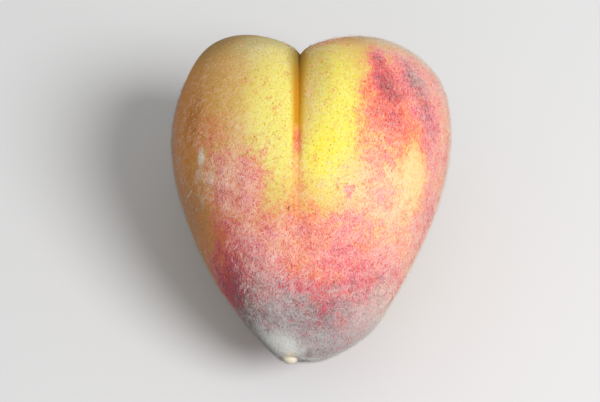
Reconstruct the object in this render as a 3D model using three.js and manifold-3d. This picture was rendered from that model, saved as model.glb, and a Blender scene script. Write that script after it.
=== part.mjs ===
// A heart-shaped peach as picked: one solid fruit, lying on its back with its seam up. Millimetres, +Z up.
//
// The skin is one surface lofted round the fruit through four meridians, which are its outlines in the
// planes through its own axis: one along each cheek, one down the seamed face and one down the back. Each
// meridian starts on the floor of the stem cavity, climbs over the shoulder, runs down the flank and ends
// at the small nub on the blossom tip. The seam, the fruit's suture, is a crease in the seamed face.
//
// Part frame: the origin is the middle of the small flat spot that the fruit rests on. +Y runs along the
// fruit towards its stem end, +X towards its larger cheek, and +Z up through the seam.
import * as THREE from "three";
import { ParametricGeometry } from "three/addons/geometries/ParametricGeometry.js";
import { mergeVertices } from "three/addons/utils/BufferGeometryUtils.js";
import Module from "manifold-3d";

// How the fruit lies: its stem end is lifted until its weight hangs over the flat spot, which lies at
// these distances from the blossom tip along the axis, from the axis towards the larger cheek, and below
// the axis.
const STEM_LIFT_DEG = 14;
const REST_ALONG = 48.2;
const REST_ASIDE = 0.7;
const REST_BELOW = 30.8;

// Rings along the fruit, and meridians round it. The crowding spaces the meridians evenly at 0, and
// towards 1 it gathers them at the seam.
const RINGS = 56;
const MERIDIANS = 92;
const SEAM_CROWDING = 0.8;

// Every outline below is a list of [distance from the axis, height above the blossom tip].
// The floor of the stem cavity and the nub on the tip are round, so all four meridians share them.
const CAVITY_FLOOR = [[0, 70.2], [2.8, 70.5]];
const TIP_NUB = [[2.5, 2.9], [1.8, 2.1], [1, 1.5], [0, 1.3]];

// Between them each meridian has its own wall of the cavity, crest and shoulder, then its upper flank,
// girth, lower flank and taper, and last its foot and its skirt round the nub.
const RIGHT_CHEEK = [
  [7.5, 75], [18, 83.5], [28.6, 80.4],
  [36.4, 72], [38.4, 58.5], [35.4, 42], [28.1, 24.5],
  [19, 9.8], [8, 2.8],
];
const LEFT_CHEEK = [
  [7, 75], [16.2, 83.2], [24.6, 80.6],
  [29.7, 71], [32.1, 57.3], [29.2, 41.8], [21, 23.6],
  [11.8, 11.6], [4.4, 4.6],
];
const SEAMED_FACE = [
  [6.5, 74], [13, 80.2], [21, 78.2],
  [28.5, 70], [32.5, 57], [30.5, 41], [24, 24],
  [15, 10], [6, 3],
];
const BACK = [
  [6.5, 74], [13.5, 79], [21.5, 76],
  [28.3, 68], [31.8, 54.5], [30.2, 40], [23.5, 24.5],
  [15, 10.5], [6, 3],
];

// The seam at the same stations, from the cavity's floor to the top of the nub: its depth, the angle round
// the axis by which it strays towards the larger cheek, and the width of its crease.
const SEAM = [
  [0, 0, 1.6], [0.4, 0, 1.6],
  [3.2, 0, 1.6], [4.2, 0, 1.8], [4.9, -0.3, 1.4],
  [3.7, 0, 1.1], [2.3, 0.4, 1], [0.7, 1.3, 1], [0.3, 2.3, 1.2],
  [0.2, 2.2, 1.2], [0.2, 1, 1.2],
  [0.1, 0, 1.2], [0, 0, 1.2], [0, 0, 1.2], [0, 0, 1.2],
];
// The seam is a sharp crease at the bottom of a broad valley between the two cheeks. Its width is the
// distance to one side at which it has eased off, and the valley has this share of the depth.
const VALLEY_WIDTH = 9;
const VALLEY_SHARE = 0.45;

// The step along a meridian, as a share of it, over which its direction is measured.
const DIRECTION_STEP = 0.001;

// The tabletop that presses the fruit's lowest skin flat, and the gap under which two vertices are one.
const TABLE_WIDTH = 200;
const TABLE_THICKNESS = 50;
const VERTEX_GAP = 0.001;

function meridian(own) {
  const stations = [...CAVITY_FLOOR, ...own, ...TIP_NUB];
  return new THREE.SplineCurve(stations.map(([out, up]) => new THREE.Vector2(out, up)));
}
const rightCheek = meridian(RIGHT_CHEEK);
const leftCheek = meridian(LEFT_CHEEK);
const seamedFace = meridian(SEAMED_FACE);
const back = meridian(BACK);
const seam = new THREE.CatmullRomCurve3(SEAM.map((row) => new THREE.Vector3(...row)), false, "catmullrom");

// The fruit's outline at an angle round its axis: the nearer cheek blended with the nearer face.
function outlineAt(angle, along) {
  const towardsCheek = Math.sin(angle) ** 2;
  const cheek = (Math.sin(angle) > 0 ? rightCheek : leftCheek).getPoint(along);
  const face = (Math.cos(angle) > 0 ? seamedFace : back).getPoint(along);
  return cheek.multiplyScalar(towardsCheek).addScaledVector(face, 1 - towardsCheek);
}

// The unit vector pointing into the fruit's flesh, square to that outline.
function inwardAt(angle, along) {
  const before = outlineAt(angle, Math.max(along - DIRECTION_STEP, 0));
  const after = outlineAt(angle, Math.min(along + DIRECTION_STEP, 1));
  const run = after.sub(before).normalize();
  return new THREE.Vector2(run.y, -run.x);
}

// The share of the seam's depth that is left at a distance to one side of it.
function seamShare(aside, creaseWidth) {
  const crease = Math.exp(-Math.abs(aside) / creaseWidth);
  const valley = Math.exp(-((aside / VALLEY_WIDTH) ** 2));
  return (1 - VALLEY_SHARE) * crease + VALLEY_SHARE * valley;
}

// A point of the skin while the fruit's axis is still the Y axis, with the blossom tip at the origin.
function skinPoint(u, v, target) {
  const turn = 2 * Math.PI * (1 - u);
  const { x: seamDepth, y: strayDeg, z: creaseWidth } = seam.getPoint(v);
  const stray = THREE.MathUtils.degToRad(strayDeg);
  const angle = turn - SEAM_CROWDING * Math.sin(turn) + stray * (1 + Math.cos(turn)) / 2;
  const outline = outlineAt(angle, v);
  const fromSeam = angle - stray;
  if (Math.cos(fromSeam) > 0) {
    const share = seamShare(outline.x * Math.sin(fromSeam), creaseWidth) * Math.cos(fromSeam) ** 2;
    outline.addScaledVector(inwardAt(angle, v), Math.max(seamDepth, 0) * share);
  }
  target.set(outline.x * Math.sin(angle), outline.y, outline.x * Math.cos(angle));
}

const wasm = await Module();
wasm.setup();

// A closed surface as a manifold-3d solid, with the vertices that its faces share merged.
function solidOf(surface) {
  surface.deleteAttribute("normal");
  surface.deleteAttribute("uv");
  const merged = mergeVertices(surface, VERTEX_GAP);
  return new wasm.Manifold(new wasm.Mesh({
    numProp: 3,
    vertProperties: new Float32Array(merged.attributes.position.array),
    triVerts: new Uint32Array(merged.index.array),
  }));
}

function geometryOf(solid) {
  const mesh = solid.getMesh();
  const geometry = new THREE.BufferGeometry();
  geometry.setAttribute("position", new THREE.BufferAttribute(mesh.vertProperties, 3));
  geometry.setIndex(new THREE.BufferAttribute(mesh.triVerts, 1));
  geometry.computeVertexNormals();
  return geometry;
}

// The fruit lies down on the table, and whatever would sink into it is pressed flat.
function peachGeometry() {
  const skin = new ParametricGeometry(skinPoint, MERIDIANS, RINGS);
  skin.translate(-REST_ASIDE, -REST_ALONG, 0);
  skin.rotateX(THREE.MathUtils.degToRad(STEM_LIFT_DEG));
  skin.translate(0, 0, REST_BELOW);
  const table = new THREE.BoxGeometry(TABLE_WIDTH, TABLE_WIDTH, TABLE_THICKNESS);
  table.translate(0, 0, -TABLE_THICKNESS / 2);
  return geometryOf(solidOf(skin).subtract(solidOf(table)));
}

const skinMaterial = new THREE.MeshStandardMaterial({ color: 0xe5875a, roughness: 0.85, metalness: 0 });

const fruit = new THREE.Group();
const peach = new THREE.Mesh(peachGeometry(), skinMaterial);
peach.name = "peach";
fruit.add(peach);

export default fruit;
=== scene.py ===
"""A ripe heart-shaped peach lying on its back with its seam up: its skin, its fuzz and a plain studio."""

import math

import bmesh
import bpy
import numpy as np
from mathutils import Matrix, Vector


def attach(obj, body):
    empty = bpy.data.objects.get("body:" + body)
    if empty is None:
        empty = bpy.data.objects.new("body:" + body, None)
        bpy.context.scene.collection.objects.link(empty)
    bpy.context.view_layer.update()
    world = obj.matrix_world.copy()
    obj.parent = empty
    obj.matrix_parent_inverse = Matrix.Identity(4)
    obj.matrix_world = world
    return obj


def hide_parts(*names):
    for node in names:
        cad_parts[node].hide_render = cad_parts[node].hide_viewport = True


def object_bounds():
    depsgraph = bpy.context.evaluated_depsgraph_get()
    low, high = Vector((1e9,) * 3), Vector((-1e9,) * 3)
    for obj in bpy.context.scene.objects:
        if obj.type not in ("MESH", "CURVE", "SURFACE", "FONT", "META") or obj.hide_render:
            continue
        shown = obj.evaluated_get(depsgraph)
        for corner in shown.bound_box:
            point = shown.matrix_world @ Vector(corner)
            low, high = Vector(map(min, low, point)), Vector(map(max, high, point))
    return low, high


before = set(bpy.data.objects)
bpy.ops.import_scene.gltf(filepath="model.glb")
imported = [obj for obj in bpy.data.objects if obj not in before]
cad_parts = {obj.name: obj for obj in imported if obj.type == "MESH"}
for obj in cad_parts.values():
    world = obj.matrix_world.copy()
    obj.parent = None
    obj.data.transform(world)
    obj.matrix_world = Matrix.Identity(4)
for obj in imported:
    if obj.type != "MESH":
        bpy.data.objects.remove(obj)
cad_low, cad_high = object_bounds()

# ---------------------------------------------------------------------------------------------------------
# The skin: the whole outside of the fruit, grown in one piece with the flesh under it. It is the CAD solid
# made fine and smooth, and its colours are laid over each other from the ripe flesh outwards: the yellow
# ground, the red blush, the ochre of the seam, the grey bloom, and a few small marks. A few patches among
# them are painted shade and painted light, laid into the colour where the fruit is in shade or lit.
# ---------------------------------------------------------------------------------------------------------

MM = 0.001  # one millimetre in the scene's metres
SEAM_X = -0.7  # the plane of the seam, in millimetres
SKIN_ROUNDS = 2  # how many times each face of the solid is split in four
QUAD_BEND = math.radians(40)  # two triangles of the solid that bend less than this become one quad
SAME_PLACE = 0.001  # corners of the solid that are closer than this, in millimetres, are one


def new_piece(name, mesh):
    """A visible piece of the fruit, which all moves as one."""
    piece = bpy.data.objects.new(name, mesh)
    bpy.context.scene.collection.objects.link(piece)
    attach(piece, "root")
    return piece


def skin_mesh():
    """The CAD solid as one closed mesh, mostly of four-sided faces, which grow finer evenly."""
    solid = bmesh.new()
    solid.from_mesh(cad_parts["peach"].data)
    bmesh.ops.remove_doubles(solid, verts=solid.verts, dist=SAME_PLACE * MM)
    bmesh.ops.join_triangles(
        solid,
        faces=solid.faces,
        angle_face_threshold=QUAD_BEND,
        angle_shape_threshold=QUAD_BEND,
    )
    for face in solid.faces:
        face.smooth = True
    mesh = bpy.data.meshes.new("peach_skin")
    solid.to_mesh(mesh)
    solid.free()
    return mesh


skin = new_piece("peach_skin", skin_mesh())
rounding = skin.modifiers.new("rounding", "SUBSURF")
rounding.levels = SKIN_ROUNDS
rounding.render_levels = SKIN_ROUNDS
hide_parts("peach")


class Channel:
    """One socket of a material. Arithmetic on it adds the Math nodes that work it out."""

    def __init__(self, finish, socket):
        self.finish = finish
        self.socket = socket

    def calculate(self, operation, *values):
        return self.finish.node("ShaderNodeMath", {"operation": operation}, dict(enumerate(values)))

    def __add__(self, other):
        return self.calculate("ADD", self, other)

    def __sub__(self, other):
        return self.calculate("SUBTRACT", self, other)

    def __rsub__(self, other):
        return self.calculate("SUBTRACT", other, self)

    def __mul__(self, other):
        return self.calculate("MULTIPLY", self, other)

    def __truediv__(self, other):
        return self.calculate("DIVIDE", self, other)

    def __rtruediv__(self, other):
        return self.calculate("DIVIDE", other, self)

    def __abs__(self):
        return self.calculate("ABSOLUTE", self)

    __radd__ = __add__
    __rmul__ = __mul__


class Finish:
    """A material built from nodes, laid on like paint: each coat goes over what is already there."""

    def __init__(self, name):
        self.material = bpy.data.materials.new(name)
        self.material.use_nodes = True
        self.tree = self.material.node_tree
        self.shader = self.tree.nodes["Principled BSDF"]

    def node(self, kind, settings=None, inputs=None, output=0):
        """Any node: its type, its settings, and the values or the links of its sockets."""
        made = self.tree.nodes.new(kind)
        for name, value in (settings or {}).items():
            setattr(made, name, value)
        for name, value in (inputs or {}).items():
            if isinstance(value, Channel):
                self.tree.links.new(value.socket, made.inputs[name])
            else:
                made.inputs[name].default_value = value
        return Channel(self, made.outputs[output])

    def vector(self, operation, *values, output=0):
        return self.node("ShaderNodeVectorMath", {"operation": operation}, dict(enumerate(values)), output)

    def split(self, vector):
        """The three parts of a vector."""
        parts = self.node("ShaderNodeSeparateXYZ", {}, {0: vector}).socket.node
        return [Channel(self, socket) for socket in parts.outputs]

    def object_place(self):
        """The place of each point of the piece, in millimetres."""
        metres = self.node("ShaderNodeTexCoord", output="Object")
        return self.vector("MULTIPLY", metres, (1 / MM, 1 / MM, 1 / MM))

    def mix(self, share, under, over, blend="MIX"):
        """One colour laid over another, which it hides where its share is 1."""
        settings = {"data_type": "RGBA", "blend_type": blend, "clamp_factor": True}
        return self.node("ShaderNodeMix", settings, {0: share, 6: under, 7: over}, 2)

    def ramp(self, value, low, high, low_out=0.0, high_out=1.0):
        """value, eased from low_out where it is low to high_out where it is high."""
        inputs = {"Value": value, 1: low, 2: high, 3: low_out, 4: high_out}
        return self.node("ShaderNodeMapRange", {"interpolation_type": "SMOOTHSTEP"}, inputs)

    def noise(self, place, size, detail=2.0, roughness=0.5, output=0):
        """Cloudy noise from 0 to 1, and 0.5 on average, in clouds of about this size in millimetres."""
        inputs = {"Vector": place, "Scale": 1 / size, "Detail": detail, "Roughness": roughness}
        return self.node("ShaderNodeTexNoise", {"noise_dimensions": "3D"}, inputs, output)

    def stray(self, place, size, amount):
        """How far the cloudy noise at a place shifts it: up to half of each amount, either way."""
        cloud = self.noise(place, size, output="Color")
        return self.vector("MULTIPLY", self.vector("SUBTRACT", cloud, (0.5, 0.5, 0.5)), amount)

    def patch(self, place, middle, reach, fade, amount):
        """An amount laid on in an oval patch. It has half faded at its reach each way from its middle, and
        it fades over this share of the reach to either side of that."""
        offset = self.vector("DIVIDE", self.vector("SUBTRACT", place, middle), reach)
        return self.ramp(self.vector("LENGTH", offset, output="Value"), 1 - fade, 1 + fade, amount, 0.0)

    def spread(self, place, patches):
        """How much a list of patches lays on at a place, all added up."""
        return sum(self.patch(place, *patch) for _, *patch in patches)

    def dab(self, colour, place, patches):
        """A colour with a list of coloured patches laid over it, one after the other."""
        for _, code, *patch in patches:
            colour = self.mix(self.patch(place, *patch), colour, srgb(code))
        return colour

    def feed(self, value, name):
        """A value that varies over the piece, let into a socket of the shader."""
        self.tree.links.new(value.socket, self.shader.inputs[name])

    def keep(self, values):
        """Values that are the same all over the piece, set on the shader's own sockets."""
        for name, value in values.items():
            self.shader.inputs[name].default_value = value


def srgb(code):
    """A colour written as six hexadecimal digits, as the shader wants it."""
    parts = [int(code[i : i + 2], 16) / 255 for i in (0, 2, 4)]
    linear = [c / 12.92 if c <= 0.04045 else ((c + 0.055) / 1.055) ** 2.4 for c in parts]
    return (*linear, 1.0)


# Places on the fruit: across it to the right, along it towards its stem, and above the table. These, and
# the sizes in the paint, are in millimetres.
peel = Finish("ripe_skin")
place = peel.object_place()
across, along, height = peel.split(place)

# Colour spreads unevenly through the skin, so the edges of every patch wander: widely, and again in small
# mottles that are drawn out along the fruit.
wide_shift = peel.stray(place, size=7.0, amount=(3.0, 3.0, 3.0))
drawn_out = peel.vector("MULTIPLY", place, (1.0, 0.6, 1.0))
small_shift = peel.stray(drawn_out, size=0.8, amount=(3.0, 5.0, 3.0))
stray_place = peel.vector("ADD", peel.vector("ADD", place, wide_shift), small_shift)

# The ground colour of the ripe flesh showing through, patch by patch, and in places painted shade: what it
# is, its colour, the middle of the patch, its reach each way, how softly it fades, and how much it covers.
GROUND = srgb("EFC364")
GROUND_PATCHES = [
    # The left cheek faces away from the lamp: its orange is the cheek's own colour deepened in part with
    # painted shade, and the burnt orange patch on it is painted shade.
    ("orange left cheek", "F29B39", (-32, 0, 42), (11, 32, 28), 0.8, 1.0),
    ("tan lower left rim", "CC8C6C", (-25, -19, 38), (7, 10, 11), 0.8, 0.6),
    ("painted shade on the left cheek", "CC7424", (-25.2, 2, 52), (3, 7, 4), 0.6, 0.6),
    ("green in the stem cavity", "B5A44A", (-0.7, 27, 37.5), (12, 10, 12), 0.4, 0.8),
    # The crest's olive-brown is painted shade, darker than the fruit's own yellow there.
    ("painted shade on the crest", "C0984A", (-8, 34, 51), (36, 13, 14), 0.4, 1.0),
    ("straw left shoulder", "D9D48C", (-8.5, 21.5, 57.5), (7, 5.5, 6), 0.8, 0.85),
    ("cream by the left shoulder", "F6EE9C", (-7, 15.5, 61), (6, 4.5, 5), 0.8, 0.7),
    ("yellow left of the seam", "FAEE74", (-5, 0, 61), (7.5, 18.5, 12), 0.5, 1.0),
    ("lemon right of the seam", "F6EC5E", (7, 1, 61), (7.5, 19.5, 14), 0.5, 1.0),
    # The olive strip right of the seam is painted shade on the slope that turns away from the lamp.
    ("painted shade right of the seam", "C2A840", (3.2, 11, 61), (3.4, 13, 7), 0.7, 0.55),
    ("tan beside the seam", "DCA650", (1.5, 3, 62), (2, 10, 8), 0.6, 0.5),
    ("brightest lemon", "FAEC38", (6, -9, 61), (3.5, 5.5, 5), 0.5, 0.7),
    ("yellow right flank", "FDD892", (23, -12, 50), (9, 11, 10), 0.5, 1.0),
]
ground = peel.dab(GROUND, stray_place, GROUND_PATCHES)

# The blush: how red the sun has turned the skin, from 0 for none to 1.5 for the darkest plum, with painted
# shade at the lower left edge. The patches are added up, and a negative one is paler than the skin around
# it.
BLUSH_PATCHES = [
    ("right cheek", (30, 10.5, 55), (15.9, 15.2, 40), 0.25, 0.7),
    ("orange edge of the cheek", (14.6, 0.5, 61), (2.6, 6, 6), 0.6, 0.17),
    ("corner of the cheek", (17.2, 19.5, 59.6), (2.2, 4.2, 5), 0.6, 0.38),
    ("edge below the corner", (18.3, 13.5, 60.5), (2.2, 5, 5), 0.6, 0.18),
    ("yellow beside the corner", (13.2, 14, 62), (3, 5, 5), 0.6, -0.18),
    ("right cheek, outer side", (38.5, -12, 34), (8.5, 24, 30), 0.45, 0.42),
    ("right flank down to the tip", (27, -28, 27), (10, 17, 22), 0.5, 0.5),
    ("salmon line by the plum streak", (20.6, 18.4, 59), (1.2, 2.4, 3), 0.6, -0.35),
    ("foot of the salmon line", (23, 14.8, 58.5), (1.2, 2.4, 3), 0.6, -0.35),
    ("plum streak", (21, 10, 59), (2.9, 4.4, 5), 0.8, 0.4),
    ("foot of the plum streak", (22.3, 6.5, 59), (2, 3.2, 5), 0.7, 0.2),
    ("outer streak at the crest", (26, 15, 55), (3, 5, 6), 0.7, 0.45),
    ("outer plum streak", (28.6, 11.5, 53), (2.9, 4.8, 6), 0.7, 0.33),
    ("foot of the outer streak", (30.8, 6.5, 50), (2.6, 4.4, 6), 0.7, 0.3),
    ("cheek's lower fringe", (19.5, -4, 57), (6.4, 7, 8), 0.5, 0.38),
    ("fringe below it", (20, -12.5, 54), (4.5, 5, 8), 0.7, 0.34),
    ("peach flank", (19.5, -18.5, 50), (9, 5, 10), 0.7, 0.22),
    ("flame by the flank", (12.1, -16, 55.4), (1.2, 1.4, 2), 0.5, 0.4),
    ("orange under the seam", (0, -20, 56), (4, 6, 8), 0.7, 0.2),
    ("yellow right of the seam's end", (5, -16.5, 57), (3, 3, 4), 0.7, -0.1),
    ("orange further right", (9.8, -17.5, 56), (2.5, 3, 4), 0.7, 0.12),
    ("coral below the seam", (3, -23.5, 52), (4.5, 4.5, 5), 0.8, 0.22),
    ("belt across the lower face", (1, -38, 38), (32, 16, 45), 0.3, 0.62),
    ("pink in the upper belt", (13.5, -22, 50.5), (6.5, 3, 4), 0.6, 0.25),
    ("lower right edge", (32.3, -11.5, 38.5), (4, 9, 8), 0.6, 0.3),
    ("crimson in the belt", (12, -26, 47), (8, 5.5, 7), 0.7, 0.13),
    ("deep red below it", (8, -36.6, 39.4), (4.2, 4.8, 5), 0.8, 0.1),
    ("mauve right of it", (15, -34.8, 37.5), (6, 5, 7), 0.8, 0.36),
    ("mauve left of it", (-6, -33, 44), (8, 4, 6), 0.8, 0.14),
    ("mauve by the lower seam", (-12, -31, 43), (6, 5, 8), 0.6, 0.22),
    ("mauve above it", (-13, -26.5, 45.5), (4, 4, 6), 0.7, 0.06),
    ("left blush", (-16, -12.5, 55), (8, 8.6, 9), 0.7, 0.54),
    ("left blush by the seam", (-10.5, -15, 56.5), (3.7, 4.6, 8), 0.8, 0.18),
    ("pink below the left blush", (-12, -22, 50), (9, 4, 10), 0.6, 0.28),
    ("rust below the scuffs", (-18.5, -17.5, 49), (3, 4, 5), 0.7, 0.13),
    ("rust on the left cheek", (-23, -1, 54), (7, 4, 6), 0.7, 0.35),
    ("yellow above the left blush", (-13, -6, 59), (4, 3, 5), 0.7, -0.12),
    ("freckled left side", (-32, 6, 36), (6, 14, 12), 0.9, 0.18),
    ("red lower left edge", (-20, -24, 38), (6, 10, 14), 0.9, 0.34),
    # This patch is painted shade: it turns the lower left edge a darker plum, as if in shade.
    ("plum as painted shade at the lower left edge", (-15, -34, 31), (5, 7, 9), 0.9, 0.28),
    ("flush by the notch", (6, 24.5, 56.5), (5, 3, 4), 0.8, 0.35),
    ("plum under the grey foot", (-3, -46, 28), (19, 13.5, 24), 0.4, 0.7),
    ("orange above the gap", (25.5, -1.5, 54), (3.5, 3, 5), 0.7, -0.2),
    ("yellow gap in the flank", (27.6, -6, 50.5), (1.8, 6.4, 6), 0.7, -0.36),
    ("yellow spot beside it", (21.4, -10.6, 53.4), (1.5, 1.7, 3), 0.6, -0.25),
    ("pale rim of the right cheek", (36.5, 4, 43), (4.5, 11, 10), 0.6, -0.45),
]
MOTTLE_SHARE = 0.85  # how strong the mottles are beside the streaks
streaks = peel.noise(peel.vector("MULTIPLY", place, (1.0, 0.5, 1.0)), size=0.5, detail=3.0, roughness=0.65)
mottles = peel.noise(place, size=2.4)
streaky = (streaks - 0.5) + (mottles - 0.5) * MOTTLE_SHARE
blush = streaky + peel.spread(stray_place, BLUSH_PATCHES)

# The colours that the skin goes through as it reddens: each where the skin is cool and where it is warm,
# and the blush at which it begins and is full. The last is plum, which is greyer towards the tip. Here and
# below, a pair of values is where something begins and where it is full.
WARM_PATCHES = [
    ("below the seam", (1, -24, 50), (6, 10, 10), 0.7, 0.3),
    ("inner side of the right cheek", (20, 4, 58), (9, 9, 10), 0.7, 0.25),
    ("rust on the left cheek", (-20, -3, 56), (8, 8, 8), 0.7, 0.3),
    ("left blush", (-15, -14, 54), (8, 9, 9), 0.7, 0.15),
    ("lower left edge", (-19, -22, 42), (6, 9, 9), 0.8, 0.12),
]
BLUSH_COLOURS = [
    ("apricot", "F8AC62", "F8AC62", 0.0, 0.45),
    ("pink", "F97B7F", "FA8462", 0.25, 0.7),
    ("crimson", "E05A6C", "E4605A", 0.6, 1.05),
]
WARM_SPAN = (0.45, 0.75)  # of the warmth
PLUM_SPAN = (0.9, 1.5)  # of the blush
PLUM_GREYS_ALONG = (-24, -36)
warmth = peel.noise(place, size=4.5) + peel.spread(stray_place, WARM_PATCHES)
warm = peel.ramp(warmth, *WARM_SPAN)
colour = ground
for _, cool_code, warm_code, begins, full in BLUSH_COLOURS:
    shade_of_red = peel.mix(warm, srgb(cool_code), srgb(warm_code))
    colour = peel.mix(peel.ramp(blush, begins, full), colour, shade_of_red)
plum = peel.mix(peel.ramp(along, *PLUM_GREYS_ALONG), srgb("94505E"), srgb("967276"))
colour = peel.mix(peel.ramp(blush, *PLUM_SPAN), colour, plum)

# The seam strays a little towards the larger cheek, lower down. The underside has no seam, so it counts
# as far away from it. Where the seam is deep the skin is a strong ochre: partly its own colour, and partly
# painted shade of the deep crease, browner towards the stem where it is deepest. Along its right side, the
# wall that is in shade from the lamp, a golden painted light lifts it.
SEAM_STRAY = 1.0
STRAYS_ALONG = (8, -30)
SEAM_HEIGHT = (36, 42)
FAR_AWAY = 9.0
seam_line = peel.ramp(along, *STRAYS_ALONG, SEAM_X, SEAM_X + SEAM_STRAY)
from_seam = abs(across - seam_line) + peel.ramp(height, *SEAM_HEIGHT, FAR_AWAY, 0)

# The ochre browns towards the stem as painted shade of the crease, which is deepest there.
OCHRE_BROWNS_ALONG = (2, 20)
# The golden side is painted light on the seam's right wall, which is in shade from the lamp.
GOLD_PAINTED_LIGHT_SIDE = (-0.1, 0.4)  # to the right of the seam
GOLD_PAINTED_LIGHT_COVER = 0.5
seam_ochre_and_shade = peel.mix(peel.ramp(along, *OCHRE_BROWNS_ALONG), srgb("D08A00"), srgb("9C7C00"))
seam_ochre_and_shade = peel.mix(peel.ramp(across - seam_line, *GOLD_PAINTED_LIGHT_SIDE, 0, GOLD_PAINTED_LIGHT_COVER), seam_ochre_and_shade, srgb("F2B400"))

OCHRE_WIDENS_ALONG = (0, 20)
OCHRE_HALF_WIDTHS = (1.8, 3.6)  # before it widens, and after
OCHRE_EDGE = (0.15, 1.15)  # it fades between these shares of its half width
OCHRE_COVER = 0.97
OCHRE_ALONG = (-5, -2)
ochre_half_width = peel.ramp(along, *OCHRE_WIDENS_ALONG, *OCHRE_HALF_WIDTHS)
# The ochre, partly painted shade of the crease, covers the deep part of the seam.
ochre_cover = peel.ramp(from_seam / ochre_half_width, *OCHRE_EDGE, OCHRE_COVER, 0)
colour = peel.mix(ochre_cover * peel.ramp(along, *OCHRE_ALONG), colour, seam_ochre_and_shade)

# Below the ochre the seam ends in two stretches: what each is, its colour and cover, the distances from
# the seam between which it fades, and where along the fruit it fades in at its lower end and out at its
# upper end.
SEAM_STRETCHES = [
    ("red flame", "EC6E3C", 0.85, (0.6, 1.6), (-12, -8), (-2, -5)),
    ("orange trail", "F89C54", 0.5, (0.4, 1.8), (-27, -20), (-9, -12)),
]
for _, code, cover, sides, lower_end, upper_end in SEAM_STRETCHES:
    ends = peel.ramp(along, *lower_end) * peel.ramp(along, *upper_end)
    colour = peel.mix(peel.ramp(from_seam, *sides, cover, 0) * ends, colour, srgb(code))

# The fuzz veils the skin in fine pale strokes, thickest in the grey bloom towards the tip. A negative
# patch is barer than the skin around it, and the two at the lower left are painted shade as well.
BLOOM_PATCHES = [
    ("foot", (-6, -44, 28), (14, 11, 20), 0.75, 0.66),
    ("tip", (-3.1, -43.7, 27.3), (4.8, 3.2, 4), 0.7, 1.35),
    ("lower right rim", (20, -36, 29), (10, 7.5, 9), 0.4, 0.48),
    ("grey over the deep red", (11.5, -36.5, 39), (4, 4, 6), 0.7, 0.25),
    ("lower right flank", (26, -22, 38), (8, 9, 14), 0.5, 0.25),
    ("mauve by the lower seam", (-8, -32.5, 43), (5, 5, 7), 0.6, 0.2),
    ("mauve above it", (-13, -25.3, 46.7), (3.5, 3, 5), 0.7, 0.08),
    ("right shoulder's rim", (28, 24, 49), (13, 10, 14), 0.5, 0.36),
    ("pale edge of that rim", (27, 27, 48), (7, 4.5, 6), 0.6, 0.32),
    ("mauve on the outer streak", (27.5, 10.5, 54), (5, 7.5, 7), 0.6, 0.2),
    ("outer right cheek", (37, -2, 42), (8, 22, 15), 0.5, 0.26),
    ("left flank", (-16, -14, 52), (8, 9, 7), 0.6, 0.27),
    ("above the left flank", (-11.5, -9, 58), (6, 9, 7), 0.7, 0.12),
    ("left of the lower seam", (-6, -25, 50), (6, 5, 6), 0.7, 0.14),
    ("peach flank", (16, -15, 53), (9, 9, 8), 0.6, 0.3),
    ("belt", (8, -27, 46), (20, 5, 14), 0.5, 0.15),
    ("over the cheek's fringe", (19, -3, 57), (6, 6, 6), 0.6, 0.13),
    ("beside the seam", (3.2, 5, 62.5), (2.5, 9, 6), 0.6, 0.12),
    ("under the foot", (9, -43.5, 25), (8, 5, 6), 0.6, 0.02),
    ("rim of the foot", (14, -40, 24), (12, 8, 9), 0.6, 0.38),
    # These two take the pale veil and some hairs off the lower left: fewer hairs, and painted shade that
    # makes it read darker.
    ("painted shade at the left edge of the foot", (-13.2, -35, 32), (5.5, 7, 9), 0.9, -0.4),
    ("painted shade on the lower left flank", (-19.5, -21, 44), (5, 9, 8), 0.6, -0.2),
    ("red showing through the foot", (7, -38.5, 37.5), (2.7, 4.5, 5), 0.8, -0.25),
    ("bare left cheek", (-32, 2, 42), (11, 30, 26), 0.8, -0.13),
    # The left rim's veil is real fuzz laid on thicker, partly painted sheen: the pale edge that fuzz shows
    # when seen edge-on at the outline.
    ("left rim", (-31, -6, 38), (4, 22, 12), 0.6, 0.22),
    ("rim of the left foot", (-10, -43, 22), (8, 6, 9), 0.6, 0.15),
    ("bare left crest", (-16, 30, 46), (20, 12, 16), 0.5, -0.16),
    ("bare nub", (-1, -45.6, 21.8), (2.1, 2.7, 4), 0.3, -3.0),
]
POWDER_SHARE = 0.66  # how much of it is a powder on the skin, and not hairs
STROKES_GROW_ALONG = (-25, -40)
STROKE_STRENGTHS = (1.2, 1.4)  # before they grow, and after
CLUMPS_ALONG = (-26, -36)
DEEP_SEAM_EDGE = (1.2, 2.5)  # the veil comes in between these distances from the seam
DEEP_SEAM_ALONG = (-6, -3)
brushed = peel.vector("MULTIPLY", place, (1.0, 0.45, 1.0))
brushed = peel.vector("ADD", brushed, peel.stray(place, size=2.5, amount=(1.5, 1.5, 1.5)))
fibres = peel.noise(brushed, size=0.3, roughness=0.6)
clumps = peel.noise(place, size=1.5, roughness=0.6)
bloom = (fibres - 0.5) * peel.ramp(along, *STROKES_GROW_ALONG, *STROKE_STRENGTHS)
bloom = bloom + (clumps - 0.5) * peel.ramp(along, *CLUMPS_ALONG)
bloom = bloom + peel.spread(stray_place, BLOOM_PATCHES) * POWDER_SHARE
out_of_seam = 1 - peel.ramp(from_seam, *DEEP_SEAM_EDGE, 1, 0) * peel.ramp(along, *DEEP_SEAM_ALONG)

VEIL_GREYS_ALONG = (-30, -44)
WHITE_TIP = ("white tip", "FFFFFC", (-2.9, -43.7, 27.3), (5, 3.2, 4), 0.6, 1.0)
towards_tip = peel.ramp(along, *VEIL_GREYS_ALONG)
veil = peel.mix(towards_tip, srgb("F6F3EC"), srgb("C4C8C7"))
veil = peel.dab(veil, stray_place, [WHITE_TIP])
colour = peel.mix(bloom * out_of_seam, colour, veil)

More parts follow.
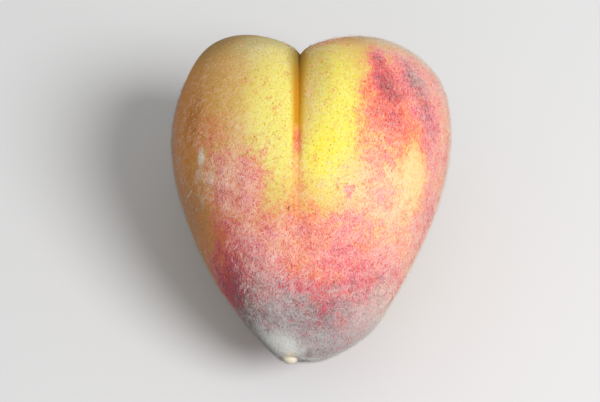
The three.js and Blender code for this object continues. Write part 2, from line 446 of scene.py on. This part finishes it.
# Between the strokes the skin is in their shade, most of all where it is red.
BETWEEN_STROKES = (0.52, 0.3)  # of the fibres
RED_ENOUGH = (-0.2, 0.6)  # of the blush
SHADE_COVERS = (0.35, 0.9)  # on yellow skin, and on red skin
between = peel.ramp(fibres, *BETWEEN_STROKES) * peel.ramp(blush, *RED_ENOUGH, *SHADE_COVERS) * out_of_seam
shade = peel.mix(towards_tip, srgb("D9B49A"), srgb("B4B0AE"))
colour = peel.mix(between, colour, shade, "MULTIPLY")

# Tiny brown lenticels, the fruit's pores, are strewn all over it and show best on the yellow skin.
LENTICEL_SPACING = 0.95
LENTICEL_CORE = 0.1
LENTICEL_RIM = 0.24
LENTICEL_COVER = 0.5
to_lenticel = peel.node("ShaderNodeTexVoronoi", {}, {"Vector": place, "Scale": 1 / LENTICEL_SPACING})
lenticels = peel.ramp(to_lenticel * LENTICEL_SPACING, LENTICEL_CORE, LENTICEL_RIM, LENTICEL_COVER, 0)
colour = peel.mix(lenticels, colour, srgb("9C5220"))

# Rubbed spots on the left cheek, where the bloom has gone chalky.
SCUFFS = [
    ("upper scuff", "FFF6E2", (-23.2, -6.3, 51.3), (0.9, 1.8, 2.5), 0.6, 0.9),
    ("middle scuff", "F4E0CC", (-24, -9.6, 48.6), (0.8, 1.4, 2), 0.7, 0.6),
    ("lower scuff", "F4DCCB", (-20.8, -11.8, 50.8), (0.9, 1.6, 2), 0.7, 0.55),
    ("lowest scuff", "E4D6C4", (-22.8, -15, 44.5), (0.7, 1.6, 2), 0.5, 0.35),
]
RUBBED_STROKES = (0.3, 0.5)  # of the fibres
ragged_place = peel.vector("ADD", place, peel.stray(place, size=0.7, amount=(1.2, 1.6, 1.2)))
for _, code, *scuff in SCUFFS:
    strokes = peel.patch(ragged_place, *scuff) * peel.ramp(fibres, *RUBBED_STROKES)
    colour = peel.mix(strokes, colour, srgb(code))

# The scar in the stem cavity, one dark fleck, and the cream nub on the tip.
MARKS = [
    ("stem scar", "7A5434", (-0.7, 21.4, 36.1), (3.4, 3, 3.4), 0.25, 0.95),
    ("middle of the stem scar", "4A3220", (-0.7, 21.4, 36.1), (1.5, 2, 1.5), 0.4, 0.9),
    ("fleck", "8A4A28", (-1.9, -20.8, 54.2), (0.35, 0.3, 0.6), 0.5, 0.9),
    ("nub", "FFF6DE", (-0.9, -45.6, 22.3), (2.1, 2.8, 4.4), 0.4, 0.97),
]
colour = peel.dab(colour, ragged_place, MARKS)

peel.feed(colour, "Base Color")
ridges = peel.node("ShaderNodeBump", {}, {"Height": fibres, "Strength": 0.5, "Distance": 0.15 * MM})
peel.feed(ridges, "Normal")
peel.keep({"Roughness": 0.75, "Specular IOR Level": 0.25, "Sheen Weight": 0.12, "Sheen Roughness": 0.5})
skin.data.materials.append(peel.material)


# ---------------------------------------------------------------------------------------------------------
# The fuzz: the short pale hairs that grow out of the skin all over a peach, lying down towards the tip in
# swirls. They are thickest in the grey bloom at the tip, and the deep part of the seam has none. Each is
# a closed spike, and the fuzz is made as five coats, one for each part of the skin.
# ---------------------------------------------------------------------------------------------------------

# One hair, in millimetres, with the least and the most of what varies.
HAIR_WIDTHS = (0.04, 0.09)
HAIR_LENGTHS = (0.6, 1.5)
HAIR_JOINTS = 2
HAIR_LEAN = 0.5  # how far it stands up, from 0 for lying flat to 1 for as much up as along
LEAN_SPREAD = (0.2, 1.8)
HAIR_CURL = 0.3  # how far its tip curls to one side, as a share of its length
CLEAR_OF_TABLE = 0.05  # a hair whose tip would be lower than this is left out

# How thickly the hairs grow. Waves that cross each other make the tufts.
HAIRS_PER_MM2 = 17  # where the bloom is full
THIN_FUZZ = 0.16  # the share of them that grows where there is no bloom
TUFT_DEPTH = 0.2  # how much thicker and thinner the tufts make it
WAVES = 8
WAVE_STEEPNESS = 1.2  # in radians to a millimetre
BARE_SEAM_HALF = 1.8  # half the width of the bare part of the seam
BARE_SEAM_END = -6  # and its lower end, along the fruit

# How they lie: each swirl is a wave about six times as long as its size.
LIE_OF_HAIR = (0.0, -1.6, -0.3)  # towards the tip, and a little towards the table
SWIRL_SIZES = (3.1, 1.7, 0.9)
SWIRL_SHIFT = 2  # in radians, so that the swirls don't all begin at the same place
SWIRL_SHARE = 0.45
HAIR_STRAY = 0.55

# The parts of the skin: the top is what faces up more than this slope, and the tip is its end.
TOP_SLOPE = 0.1
TIP_Y = -22

HAIR_SEED = 11
dice = np.random.default_rng(HAIR_SEED)
TUFT_WAVES = dice.normal(0, WAVE_STEEPNESS, (3, WAVES))


def grown_skin(piece):
    """The finished skin's triangles in millimetres: the corners of each, and the normals at them."""
    evaluated = piece.evaluated_get(bpy.context.evaluated_depsgraph_get())
    grown = evaluated.to_mesh()
    grown.calc_loop_triangles()
    corners = np.empty(len(grown.loop_triangles) * 3, np.int32)
    places = np.empty(len(grown.vertices) * 3)
    normals = np.empty(len(grown.vertices) * 3)
    grown.loop_triangles.foreach_get("vertices", corners)
    grown.vertices.foreach_get("co", places)
    grown.vertices.foreach_get("normal", normals)
    evaluated.to_mesh_clear()
    corners = corners.reshape(-1, 3)
    return places.reshape(-1, 3)[corners] / MM, normals.reshape(-1, 3)[corners]


def unit(vectors):
    """The same vectors, each one unit long."""
    return vectors / np.linalg.norm(vectors, axis=1, keepdims=True)


def thickness_of_fuzz(places):
    """How thick the fuzz is at each place, from 0 to 1. It follows the bloom, whose patches fade here just
    as in the paint, and it grows in uneven tufts."""
    thickness = np.full(len(places), THIN_FUZZ)
    for _, middle, reach, fade, amount in BLOOM_PATCHES:
        away = np.linalg.norm((places - middle) / reach, axis=1)
        within = np.clip((1 + fade - away) / (2 * fade), 0, 1)
        thickness += amount * within * within * (3 - 2 * within)
    tufts = np.sin(places @ TUFT_WAVES).sum(axis=1)
    return np.clip(thickness * (1 + TUFT_DEPTH * tufts), 0, 1)


def scatter(triangles, normals):
    """Random places on the skin, as many as the thickness of the fuzz asks for, and the normals there."""
    first_side = triangles[:, 1] - triangles[:, 0]
    second_side = triangles[:, 2] - triangles[:, 0]
    area = np.linalg.norm(np.cross(first_side, second_side), axis=1) / 2
    wanted = area * thickness_of_fuzz(triangles.mean(axis=1)) * HAIRS_PER_MM2
    chosen = dice.choice(len(triangles), int(wanted.sum()), p=wanted / wanted.sum())
    first = np.sqrt(dice.random(len(chosen)))
    second = dice.random(len(chosen))
    shares = np.stack([1 - first, first * (1 - second), first * second], axis=1)[:, :, None]
    return (triangles[chosen] * shares).sum(axis=1), unit((normals[chosen] * shares).sum(axis=1))


def lay_of_fuzz(places, normals):
    """Which way the hairs lie on the skin: towards the tip, in swirls, with each hair a little astray."""
    wide, middling, small = SWIRL_SIZES
    swirl = np.sin(places / wide + SWIRL_SHIFT)
    swirl += np.sin(places[:, [1, 2, 0]] / middling)
    swirl += np.sin(places[:, [2, 0, 1]] / small)
    lay = LIE_OF_HAIR + SWIRL_SHARE * swirl + dice.normal(0, HAIR_STRAY, places.shape)
    return unit(lay - (lay * normals).sum(axis=1, keepdims=True) * normals)


def hair_shape(joints):
    """One hair, one unit long and thick: a closed three-sided spike, with joints where it can bend."""
    spike = bmesh.new()
    bmesh.ops.create_cone(spike, cap_ends=True, segments=3, radius1=0.5, radius2=0, depth=1)
    bmesh.ops.translate(spike, verts=spike.verts, vec=(0, 0, 0.5))
    for joint in range(1, joints):
        bmesh.ops.bisect_plane(
            spike,
            geom=spike.verts[:] + spike.edges[:] + spike.faces[:],
            plane_co=(0, 0, joint / joints),
            plane_no=(0, 0, 1),
        )
    bmesh.ops.triangulate(spike, faces=spike.faces)
    spike.verts.index_update()
    corners = np.array([vert.co for vert in spike.verts])
    faces = np.array([[vert.index for vert in face.verts] for face in spike.faces])
    spike.free()
    return corners, faces


def hairs_mesh(name, shape, roots, path, widths):
    """A mesh of the same hair repeated at every root. path gives each hair's offset from its root at a
    share of its length, and all of it is in millimetres."""
    corners, faces = shape
    forward = unit(path(1.0) - path(0.0))
    sideways = unit(np.cross(forward, dice.normal(size=roots.shape)))
    upward = np.cross(forward, sideways)
    places = []
    for right, front, share in corners:
        places.append(roots + path(share) + widths[:, None] * (right * sideways + front * upward))
    places = np.stack(places, axis=1).reshape(-1, 3) * MM
    loops = (faces[None] + len(corners) * np.arange(len(roots))[:, None, None]).reshape(-1)
    mesh = bpy.data.meshes.new(name)
    mesh.vertices.add(len(places))
    mesh.vertices.foreach_set("co", places.ravel())
    mesh.loops.add(len(loops))
    mesh.loops.foreach_set("vertex_index", loops)
    mesh.polygons.add(len(loops) // 3)
    mesh.polygons.foreach_set("loop_start", np.arange(0, len(loops), 3))
    mesh.update(calc_edges=True)
    return mesh


# A hair is so fine that light shines through it, so it hardly shades the skin. It is cream, and a cooler
# grey in the bloom at the tip.
LIGHT_THROUGH = 0.5  # the share of the light that shines through
FUZZ_GREYS_ALONG = (-30, -40)
down = Finish("pale_fuzz")
hair_place = down.object_place()
cream = down.mix(down.noise(hair_place, size=3.0), srgb("FBEDDF"), srgb("FFFAF2"))
hair_along = down.split(hair_place)[1]
down.feed(down.mix(down.ramp(hair_along, *FUZZ_GREYS_ALONG), cream, srgb("DADEE0")), "Base Color")
down.keep({"Roughness": 0.6, "Specular IOR Level": 0.3})
glow = down.node("ShaderNodeBsdfTranslucent", {}, {"Color": srgb("F6F2EC")})
matt = Channel(down, down.shader.outputs[0])
surface = down.node("ShaderNodeMixShader", {}, {0: LIGHT_THROUGH, 1: matt, 2: glow})
down.tree.links.new(surface.socket, down.tree.nodes["Material Output"].inputs["Surface"])


def add_hairs(name, mesh):
    """A piece of the fuzz, of hairs that grow out of the skin."""
    hairs = new_piece(name, mesh)
    hairs.data.materials.append(down.material)
    hairs.visible_shadow = False


def bent(ahead, aside):
    """The path of hairs that lean ahead, and bend aside more and more towards their tips."""
    return lambda share: share * ahead + share * share * aside


skin_triangles, skin_normals = grown_skin(skin)
skin_middles = skin_triangles.mean(axis=1)
skin_slopes = skin_normals.mean(axis=1)[:, 2]
on_left = skin_middles[:, 0] < SEAM_X
on_top = skin_slopes > TOP_SLOPE
at_tip = skin_middles[:, 1] < TIP_Y
COATS = [
    ("fuzz_on_left_cheek", on_top & ~at_tip & on_left),
    ("fuzz_on_right_cheek", on_top & ~at_tip & ~on_left),
    ("fuzz_on_tip", on_top & at_tip),
    ("fuzz_on_left_back", ~on_top & on_left),
    ("fuzz_on_right_back", ~on_top & ~on_left),
]
short_hair = hair_shape(HAIR_JOINTS)
for name, coated in COATS:
    roots, outward = scatter(skin_triangles[coated], skin_normals[coated])
    length = dice.uniform(*HAIR_LENGTHS, (len(roots), 1))
    lean = HAIR_LEAN * dice.uniform(*LEAN_SPREAD, (len(roots), 1))
    direction = unit(lay_of_fuzz(roots, outward) + lean * outward)
    curl = HAIR_CURL * dice.normal(size=(len(roots), 1)) * unit(np.cross(direction, outward))
    beside_seam = abs(roots[:, 0] - SEAM_X) < BARE_SEAM_HALF
    bare_seam = beside_seam & (roots[:, 1] > BARE_SEAM_END) & (outward[:, 2] > 0)
    on_table = (roots + length * (direction + curl))[:, 2] < CLEAR_OF_TABLE
    kept = ~bare_seam & ~on_table
    ahead = (length * direction)[kept]
    aside = (length * curl)[kept]
    widths = dice.uniform(*HAIR_WIDTHS, len(ahead))
    add_hairs(name, hairs_mesh(name, short_hair, roots[kept], bent(ahead, aside), widths))


# ---------------------------------------------------------------------------------------------------------
# The long curls: here and there among the short hairs is a longer, thicker one of the same kind, curled
# round on the skin. They grow on the lower face, mostly below the end of the seam.
# ---------------------------------------------------------------------------------------------------------

CURLS = 500
CURL_LENGTHS = (1.6, 4.0)  # in millimetres
CURL_WIDTHS = (0.12, 0.22)
CURL_BENDS = (0.6, 2.2)  # how far a curl turns from root to tip, in radians
CURL_JOINTS = 7
CURL_LEAN = 0.25
CURL_STRAY = 0.5  # how much further astray they lie than the short hairs
CURLS_FROM_Y = -42  # near the tip
CURLS_TO_Y = -10  # beside the end of the seam
CURLY_SLOPE = 0.3  # they grow only where the skin faces up more than this

skin_y = skin_middles[:, 1]
curly_face = (skin_y > CURLS_FROM_Y) & (skin_y < CURLS_TO_Y) & (skin_slopes > CURLY_SLOPE)
roots, outward = scatter(skin_triangles[curly_face], skin_normals[curly_face])
picked = dice.choice(len(roots), CURLS, replace=False)
roots = roots[picked]
outward = outward[picked]
length = dice.uniform(*CURL_LENGTHS, (CURLS, 1))
lay = lay_of_fuzz(roots, outward) + dice.normal(0, CURL_STRAY, roots.shape)
ahead = unit(lay + CURL_LEAN * outward)
aside = unit(np.cross(ahead, outward)) * dice.choice([-1.0, 1.0], (CURLS, 1))
bend = dice.uniform(*CURL_BENDS, (CURLS, 1))


def curled(share):
    """The place of the curls at a share of their length: each is an arc that turns through its bend."""
    forward = np.sin(bend * share) / bend
    sideways = (1 - np.cos(bend * share)) / bend
    return length * (forward * ahead + sideways * aside)


widths = dice.uniform(*CURL_WIDTHS, CURLS)
add_hairs("long_curls", hairs_mesh("long_curls", hair_shape(CURL_JOINTS), roots, curled, widths))


# ---------------------------------------------------------------------------------------------------------
# The studio: a pale paper floor that the fruit lies on, a large soft lamp up to the right, and the camera,
# which looks down on the fruit from the side of its tip.
# ---------------------------------------------------------------------------------------------------------

FLOOR_RADIUS = 3.0  # in metres, like all of the studio
FLOOR_SIDES = 96
PAPER_SEEN = (0.8, 0.8, 0.8, 1)
PAPER_BOUNCE = (0.15, 0.15, 0.15, 1)  # it throws back only as much light as a darker table would
SEEING_RAYS = ("Is Camera Ray", "Is Glossy Ray", "Is Transmission Ray")
ROOM_LIGHT = 0.41
LAMP_PLACE = Vector((0.54, -0.30, 0.76))
LAMP_SIZE = 0.45
LAMP_POWER = 7.2
CAMERA_TURN = math.radians(2)
CAMERA_RISE = math.radians(62)
CAMERA_DISTANCE = 0.354
AIM_LEFT = 2.25 * MM  # of the middle of the fruit, as the camera sees it
AIM_BELOW = 1.65 * MM
LENS_MM = 85  # the lens and the sensor are given in millimetres
SENSOR_MM = 36

disc = bmesh.new()
bmesh.ops.create_circle(disc, cap_ends=True, segments=FLOOR_SIDES, radius=FLOOR_RADIUS)
floor_mesh = bpy.data.meshes.new("floor")
disc.to_mesh(floor_mesh)
disc.free()
floor = bpy.data.objects.new("floor", floor_mesh)
bpy.context.scene.collection.objects.link(floor)

paper = Finish("floor_paper")
ray = paper.node("ShaderNodeLightPath").socket.node
seen = sum(Channel(paper, ray.outputs[kind]) for kind in SEEING_RAYS)
paper.feed(paper.mix(seen, PAPER_BOUNCE, PAPER_SEEN), "Base Color")
paper.keep({"Roughness": 0.9})
floor.data.materials.append(paper.material)

middle = (Vector(cad_low) + Vector(cad_high)) / 2
lamp_data = bpy.data.lights.new("key", "AREA")
lamp_data.shape = "DISK"
lamp_data.size = LAMP_SIZE
lamp_data.energy = LAMP_POWER
lamp = bpy.data.objects.new("key", lamp_data)
bpy.context.scene.collection.objects.link(lamp)
lamp.location = LAMP_PLACE
lamp.rotation_euler = (middle - LAMP_PLACE).to_track_quat("-Z", "Y").to_euler()

room = bpy.data.worlds.new("studio")
bpy.context.scene.world = room
room.use_nodes = True
background = room.node_tree.nodes["Background"]
background.inputs["Color"].default_value = (1, 1, 1, 1)
background.inputs["Strength"].default_value = ROOM_LIGHT

level = math.cos(CAMERA_RISE)
to_camera = Vector((math.sin(CAMERA_TURN) * level, -math.cos(CAMERA_TURN) * level, math.sin(CAMERA_RISE)))
to_right = Vector((math.cos(CAMERA_TURN), math.sin(CAMERA_TURN), 0))
to_top = to_camera.cross(to_right)
camera_data = bpy.data.cameras.new("camera")
camera_data.lens = LENS_MM
camera_data.sensor_width = SENSOR_MM
camera = bpy.data.objects.new("camera", camera_data)
bpy.context.scene.collection.objects.link(camera)
camera.location = middle - AIM_LEFT * to_right - AIM_BELOW * to_top + CAMERA_DISTANCE * to_camera
camera.rotation_euler = to_camera.to_track_quat("Z", "Y").to_euler()
bpy.context.scene.camera = camera
bpy.context.scene.view_settings.view_transform = "Standard"
